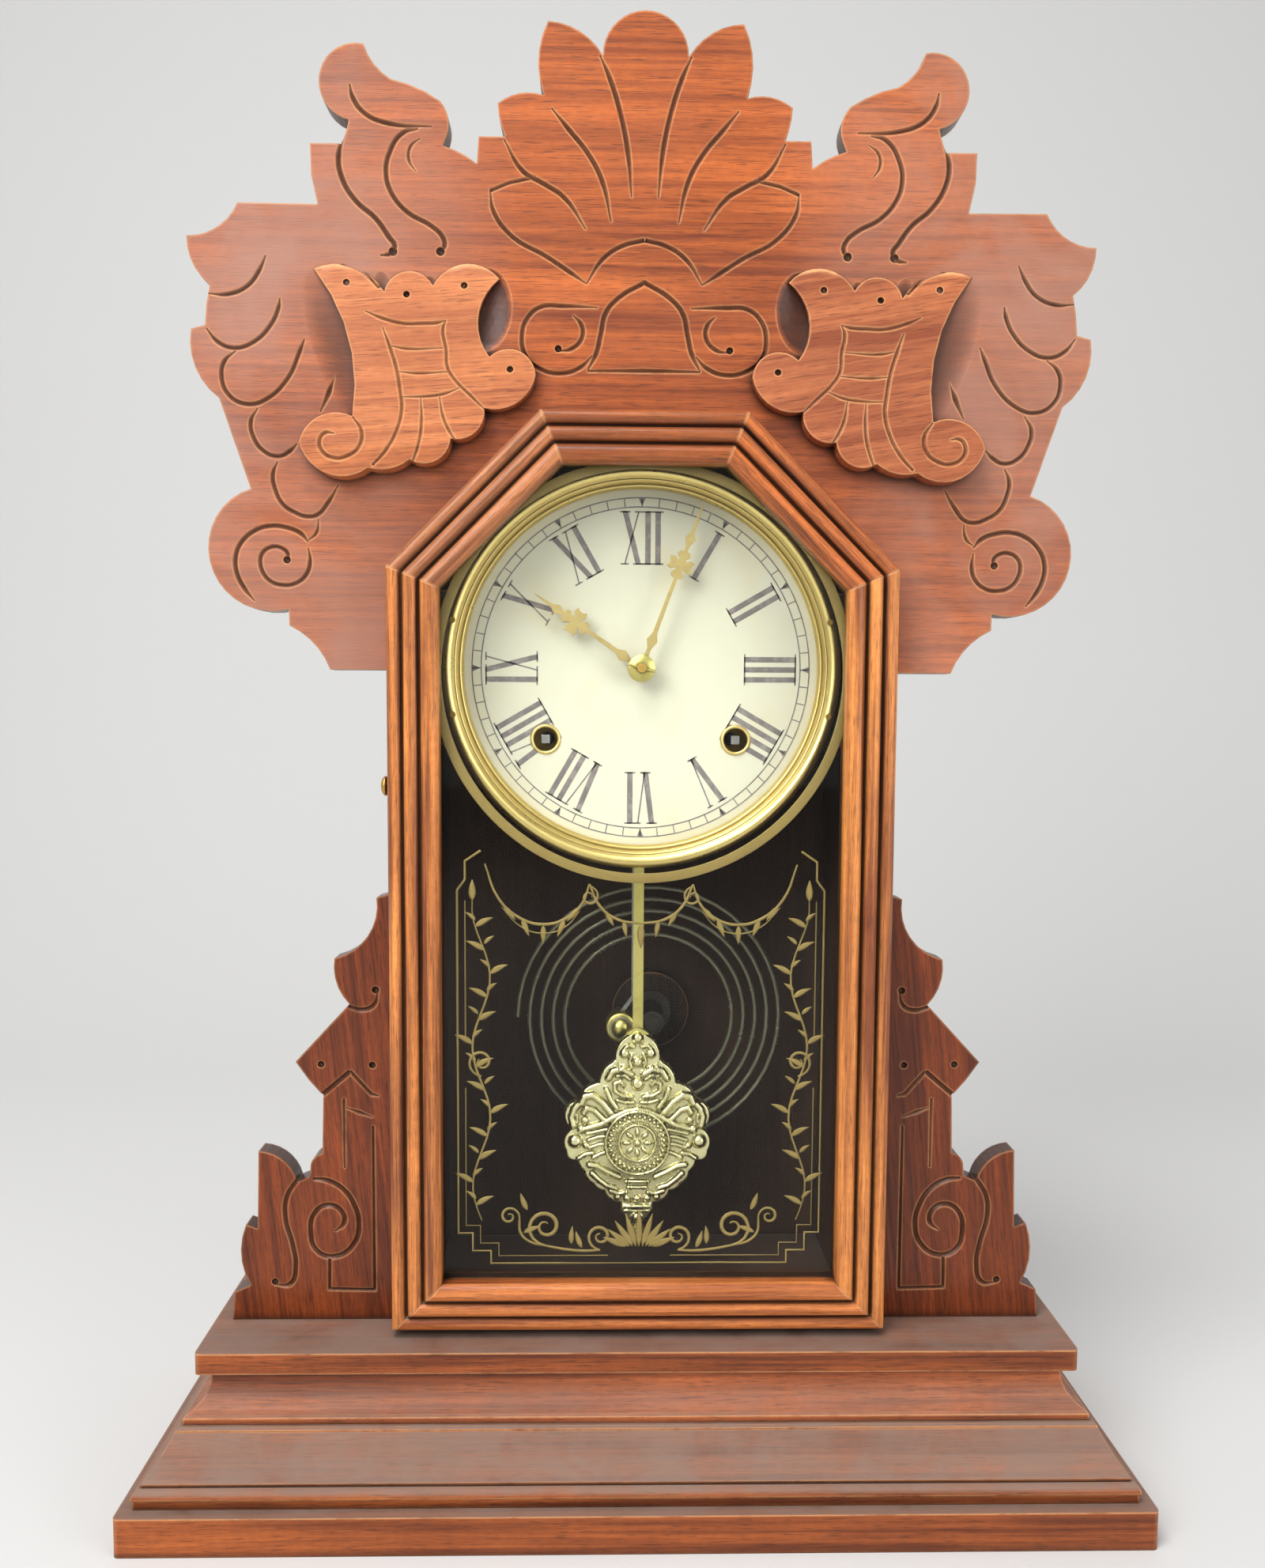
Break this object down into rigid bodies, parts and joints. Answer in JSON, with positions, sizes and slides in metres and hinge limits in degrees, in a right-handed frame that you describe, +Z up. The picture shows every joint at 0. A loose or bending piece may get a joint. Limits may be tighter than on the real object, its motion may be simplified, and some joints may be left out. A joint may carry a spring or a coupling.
{
  "type": "parlor clock",
  "caption": "Parlor clock with a carved crest, side wings, a stepped base, a glazed reeded door, a round dial, an ornate pendulum and a coil gong.",
  "frame": {"origin": "centre of the underside of the bottom board", "axes": "+Z up, front of the dial faces -Y, +X to the right as seen from the front"},
  "size_m": [0.378, 0.14, 0.559],
  "materials": {
    "walnut": "aged satin",
    "light_walnut": "aged satin",
    "plain_wood": "raw",
    "painted_dial": "matt",
    "brass": "aged",
    "steel": "satin",
    "iron": "dark",
    "glass": "clear"
  },
  "bodies": {
    "case": {"bottom_board": "walnut", "base_moulding": "walnut", "cove_moulding": "walnut", "base_back_rail": "plain_wood", "top_slab": "walnut", "case_sides": "walnut", "case_shoulders": "walnut", "case_top": "walnut", "back_board": "plain_wood", "crest_board": "walnut", "crest_harp_left": "light_walnut", "crest_harp_right": "light_walnut", "wing_left": "walnut", "wing_right": "walnut", "dial_cleats": "plain_wood", "dial_plate": "painted_dial", "dial_bezel": "brass", "winding_grommets": "brass", "dial_nails": "brass", "movement_front_plate": "brass", "movement_back_plate": "brass", "movement_pillars": "brass", "mainsprings": "steel", "suspension_post": "brass", "gong_block": "plain_wood", "gong_post": "iron", "gong_coil": "steel", "case_hinge_leaves": "brass", "latch_strike": "brass"},
    "door": {"door_top_rail": "walnut", "door_shoulder_left": "walnut", "door_shoulder_right": "walnut", "door_stile_left": "walnut", "door_stile_right": "walnut", "door_bottom_rail": "walnut", "door_glass": "glass", "glass_strips": "plain_wood", "door_hinge_leaves": "brass"},
    "latch": {"latch_knob": "brass"},
    "minute_works": {"centre_arbor": "brass", "minute_hand": "brass", "hand_washer": "brass"},
    "hour_works": {"hour_wheel": "brass", "hour_hand": "brass"},
    "minute_wheel_body": {"minute_wheel": "brass"},
    "great_time": {"great_wheel_time": "brass"},
    "second_time": {"second_wheel_time": "brass"},
    "third_time": {"third_wheel_time": "brass"},
    "escape": {"escape_wheel": "brass"},
    "wind_time": {"winding_arbor_time": "steel"},
    "great_strike": {"great_wheel_strike": "brass"},
    "pins": {"pin_wheel": "brass"},
    "warning": {"warning_wheel": "brass"},
    "fly_body": {"fly": "brass"},
    "wind_strike": {"winding_arbor_strike": "steel"},
    "hammer_body": {"hammer": "steel"},
    "pendulum": {"suspension_spring": "steel", "pendulum_bob": "brass"},
    "nut": {"rating_nut": "brass"},
    "verge_body": {"verge": "steel"}
  },
  "joints": [
    {"name": "door_hinge", "type": "hinge", "parent": "case", "child": "door", "pos_m": [0.0947, -0.0225, 0.2], "axis": [0, 0, 1], "range_deg": [0, 98]},
    {"name": "latch_turn", "type": "hinge", "parent": "door", "child": "latch", "pos_m": [-0.088, -0.027, 0.275], "axis": [1, 0, 0], "range_deg": [0, 90]},
    {"name": "minute_turn", "type": "hinge", "parent": "case", "child": "minute_works", "pos_m": [0, -0.014, 0.32], "axis": [0, 1, 0], "continuous": true},
    {"name": "hour_turn", "type": "hinge", "parent": "case", "child": "hour_works", "pos_m": [0, -0.012, 0.32], "axis": [0, 1, 0], "continuous": true},
    {"name": "minute_wheel_turn", "type": "hinge", "parent": "case", "child": "minute_wheel_body", "pos_m": [0.0072, 0.014, 0.33247], "axis": [0, 1, 0], "continuous": true},
    {"name": "great_time_turn", "type": "hinge", "parent": "case", "child": "great_time", "pos_m": [0.0372, 0.022, 0.2925], "axis": [0, 1, 0], "continuous": true},
    {"name": "second_time_turn", "type": "hinge", "parent": "case", "child": "second_time", "pos_m": [0.0252, 0.022, 0.31999], "axis": [0, 1, 0], "continuous": true},
    {"name": "third_time_turn", "type": "hinge", "parent": "case", "child": "third_time", "pos_m": [0.00618, 0.035, 0.29681], "axis": [0, 1, 0], "continuous": true},
    {"name": "escape_turn", "type": "hinge", "parent": "case", "child": "escape", "pos_m": [0, 0.013, 0.278], "axis": [0, 1, 0], "continuous": true},
    {"name": "winding_time_turn", "type": "hinge", "parent": "case", "child": "wind_time", "pos_m": [0.0372, 0.01, 0.2925], "axis": [0, 1, 0], "continuous": true},
    {"name": "pin_wheel_turn", "type": "hinge", "parent": "case", "child": "pins", "pos_m": [-0.02975, 0.045, 0.32032], "axis": [0, 1, 0], "continuous": true},
    {"name": "great_strike_turn", "type": "hinge", "parent": "case", "child": "great_strike", "pos_m": [-0.0372, 0.022, 0.2925], "axis": [0, 1, 0], "continuous": true},
    {"name": "warning_turn", "type": "hinge", "parent": "case", "child": "warning", "pos_m": [-0.02328, 0.04, 0.33808], "axis": [0, 1, 0], "continuous": true},
    {"name": "fly_turn", "type": "hinge", "parent": "case", "child": "fly_body", "pos_m": [-0.01013, 0.026, 0.34287], "axis": [0, 1, 0], "continuous": true},
    {"name": "winding_strike_turn", "type": "hinge", "parent": "case", "child": "wind_strike", "pos_m": [-0.0372, 0.01, 0.2925], "axis": [0, 1, 0], "continuous": true},
    {"name": "hammer_swing", "type": "hinge", "parent": "case", "child": "hammer_body", "pos_m": [-0.004, 0.03, 0.268], "axis": [0, 1, 0], "range_deg": [0, 12]},
    {"name": "pendulum_swing", "type": "hinge", "parent": "case", "child": "pendulum", "pos_m": [0, 0.007, 0.294], "axis": [0, 1, 0], "range_deg": [-4, 4], "deforming": ["suspension_spring"]},
    {"name": "verge_swing", "type": "hinge", "parent": "case", "child": "verge_body", "pos_m": [0, 0.012, 0.294], "axis": [0, 1, 0], "range_deg": [-4, 4]},
    {"name": "rating_nut_turn", "type": "hinge", "parent": "pendulum", "child": "nut", "pos_m": [0, 0.007, 0.0895], "axis": [0, 0, 1], "continuous": true}
  ],
  "couplings": [
    {"joint": "hour_turn", "follows": "minute_turn", "ratio": 0.083333},
    {"joint": "minute_wheel_turn", "follows": "minute_turn", "ratio": -0.33333},
    {"joint": "great_time_turn", "follows": "minute_turn", "ratio": 0.083333},
    {"joint": "second_time_turn", "follows": "minute_turn", "ratio": -0.33333},
    {"joint": "third_time_turn", "follows": "minute_turn", "ratio": -9},
    {"joint": "escape_turn", "follows": "minute_turn", "ratio": 90},
    {"joint": "great_strike_turn", "follows": "pin_wheel_turn", "ratio": -0.2},
    {"joint": "warning_turn", "follows": "pin_wheel_turn", "ratio": -6},
    {"joint": "fly_turn", "follows": "pin_wheel_turn", "ratio": 36},
    {"joint": "verge_swing", "follows": "pendulum_swing", "ratio": 1}
  ]
}
